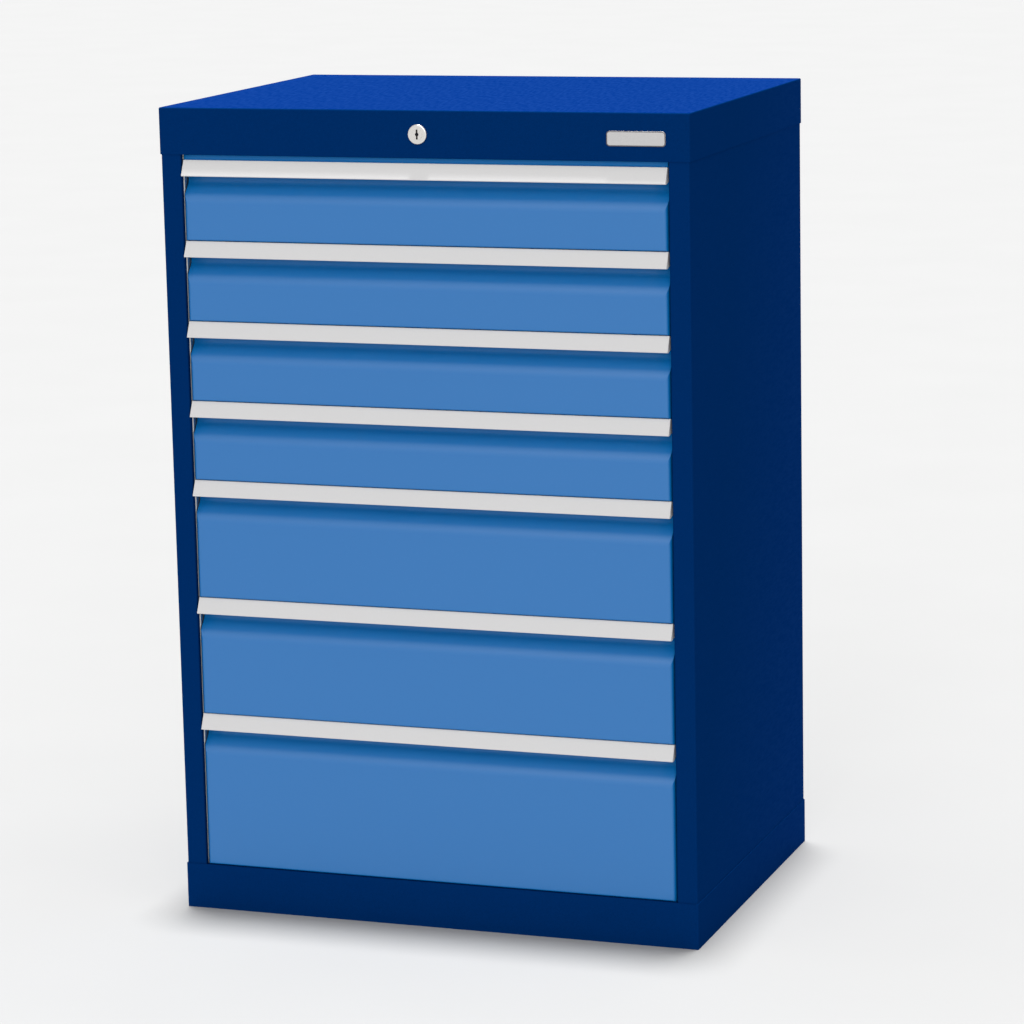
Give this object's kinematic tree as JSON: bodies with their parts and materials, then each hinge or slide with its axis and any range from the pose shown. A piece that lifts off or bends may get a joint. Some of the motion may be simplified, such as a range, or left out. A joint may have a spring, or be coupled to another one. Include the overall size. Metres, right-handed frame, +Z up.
{
  "type": "drawer cabinet",
  "caption": "Free-standing steel drawer cabinet with full-width handle strips, telescopic slides and a central cylinder lock in the cover.",
  "frame": {"origin": "on the floor, midway across the width and midway between the front of the handles and the back of the casing", "axes": "+X to the right seen from the front, +Y to the back, +Z up; the drawers open towards -Y"},
  "size_m": [0.68, 0.5038, 1.019],
  "materials": {
    "casing_paint": "semi-gloss powder coat, dark blue",
    "drawer_paint": "satin powder coat, light blue",
    "tray_paint": "satin powder coat, light blue",
    "handle_paint": "fine-textured powder coat, light grey",
    "galvanised": "zinc-plated steel",
    "slide_steel": "bright zinc-plated rolled steel",
    "lock_links": "zinc-plated steel strip",
    "lock_nickel": "satin nickel plate",
    "badge": "bare satin aluminium"
  },
  "bodies": {
    "root": {"side_panel_left": "casing_paint", "side_panel_right": "casing_paint", "top_cover": "casing_paint", "plinth": "casing_paint", "back_panel": "casing_paint", "bottom_panel": "casing_paint", "uprights": "galvanised", "cabinet_rails": "slide_steel", "lock_housing": "lock_nickel", "lock_nut": "lock_nickel", "lock_guides": "galvanised", "badge_plate": "badge"},
    "drawer_1": {"drawer_1_tray": "tray_paint", "drawer_1_front": "drawer_paint", "drawer_1_handle": "handle_paint", "drawer_1_rails": "slide_steel", "drawer_1_lock_lug": "lock_links"},
    "mid_rails_1": {"drawer_1_mid_rails": "slide_steel"},
    "drawer_2": {"drawer_2_tray": "tray_paint", "drawer_2_front": "drawer_paint", "drawer_2_handle": "handle_paint", "drawer_2_rails": "slide_steel", "drawer_2_lock_lug": "lock_links"},
    "mid_rails_2": {"drawer_2_mid_rails": "slide_steel"},
    "drawer_3": {"drawer_3_tray": "tray_paint", "drawer_3_front": "drawer_paint", "drawer_3_handle": "handle_paint", "drawer_3_rails": "slide_steel", "drawer_3_lock_lug": "lock_links"},
    "mid_rails_3": {"drawer_3_mid_rails": "slide_steel"},
    "drawer_4": {"drawer_4_tray": "tray_paint", "drawer_4_front": "drawer_paint", "drawer_4_handle": "handle_paint", "drawer_4_rails": "slide_steel", "drawer_4_lock_lug": "lock_links"},
    "mid_rails_4": {"drawer_4_mid_rails": "slide_steel"},
    "drawer_5": {"drawer_5_tray": "tray_paint", "drawer_5_front": "drawer_paint", "drawer_5_handle": "handle_paint", "drawer_5_rails": "slide_steel", "drawer_5_lock_lug": "lock_links"},
    "mid_rails_5": {"drawer_5_mid_rails": "slide_steel"},
    "drawer_6": {"drawer_6_tray": "tray_paint", "drawer_6_front": "drawer_paint", "drawer_6_handle": "handle_paint", "drawer_6_rails": "slide_steel", "drawer_6_lock_lug": "lock_links"},
    "mid_rails_6": {"drawer_6_mid_rails": "slide_steel"},
    "drawer_7": {"drawer_7_tray": "tray_paint", "drawer_7_front": "drawer_paint", "drawer_7_handle": "handle_paint", "drawer_7_rails": "slide_steel", "drawer_7_lock_lug": "lock_links"},
    "mid_rails_7": {"drawer_7_mid_rails": "slide_steel"},
    "lock_plug": {"lock_plug": "lock_nickel", "lock_cam": "lock_links"},
    "lock_bar": {"lock_bar": "lock_links"},
    "lock_rod": {"lock_rod": "lock_links", "lock_catches": "lock_links"}
  },
  "joints": [
    {"name": "drawer_1_slide", "type": "slide", "parent": "root", "child": "drawer_1", "axis": [0, -1, 0], "range_m": [0, 0.45]},
    {"name": "mid_rails_1_slide", "type": "slide", "parent": "root", "child": "mid_rails_1", "axis": [0, -1, 0], "range_m": [0, 0.225]},
    {"name": "drawer_2_slide", "type": "slide", "parent": "root", "child": "drawer_2", "axis": [0, -1, 0], "range_m": [0, 0.45]},
    {"name": "mid_rails_2_slide", "type": "slide", "parent": "root", "child": "mid_rails_2", "axis": [0, -1, 0], "range_m": [0, 0.225]},
    {"name": "drawer_3_slide", "type": "slide", "parent": "root", "child": "drawer_3", "axis": [0, -1, 0], "range_m": [0, 0.45]},
    {"name": "mid_rails_3_slide", "type": "slide", "parent": "root", "child": "mid_rails_3", "axis": [0, -1, 0], "range_m": [0, 0.225]},
    {"name": "drawer_4_slide", "type": "slide", "parent": "root", "child": "drawer_4", "axis": [0, -1, 0], "range_m": [0, 0.45]},
    {"name": "mid_rails_4_slide", "type": "slide", "parent": "root", "child": "mid_rails_4", "axis": [0, -1, 0], "range_m": [0, 0.225]},
    {"name": "drawer_5_slide", "type": "slide", "parent": "root", "child": "drawer_5", "axis": [0, -1, 0], "range_m": [0, 0.45]},
    {"name": "mid_rails_5_slide", "type": "slide", "parent": "root", "child": "mid_rails_5", "axis": [0, -1, 0], "range_m": [0, 0.225]},
    {"name": "drawer_6_slide", "type": "slide", "parent": "root", "child": "drawer_6", "axis": [0, -1, 0], "range_m": [0, 0.45]},
    {"name": "mid_rails_6_slide", "type": "slide", "parent": "root", "child": "mid_rails_6", "axis": [0, -1, 0], "range_m": [0, 0.225]},
    {"name": "drawer_7_slide", "type": "slide", "parent": "root", "child": "drawer_7", "axis": [0, -1, 0], "range_m": [0, 0.45]},
    {"name": "mid_rails_7_slide", "type": "slide", "parent": "root", "child": "mid_rails_7", "axis": [0, -1, 0], "range_m": [0, 0.225]},
    {"name": "lock_rod_slide", "type": "slide", "parent": "root", "child": "lock_rod", "axis": [0, 0, 1], "range_m": [0, 0.0106]},
    {"name": "lock_bar_slide", "type": "slide", "parent": "root", "child": "lock_bar", "axis": [-1, 0, 0], "range_m": [0, 0.01061]},
    {"name": "lock_turn", "type": "hinge", "parent": "root", "child": "lock_plug", "pos_m": [0, -0.24775, 0.99025], "axis": [0, 1, 0], "range_deg": [0, 90]}
  ],
  "couplings": [
    {"joint": "mid_rails_1_slide", "follows": "drawer_1_slide", "ratio": 0.5},
    {"joint": "mid_rails_2_slide", "follows": "drawer_2_slide", "ratio": 0.5},
    {"joint": "mid_rails_3_slide", "follows": "drawer_3_slide", "ratio": 0.5},
    {"joint": "mid_rails_4_slide", "follows": "drawer_4_slide", "ratio": 0.5},
    {"joint": "mid_rails_5_slide", "follows": "drawer_5_slide", "ratio": 0.5},
    {"joint": "mid_rails_6_slide", "follows": "drawer_6_slide", "ratio": 0.5},
    {"joint": "mid_rails_7_slide", "follows": "drawer_7_slide", "ratio": 0.5},
    {"joint": "lock_bar_slide", "follows": "lock_rod_slide", "ratio": 1},
    {"joint": "lock_turn", "follows": "lock_rod_slide", "rad_per_m": 148.1}
  ]
}
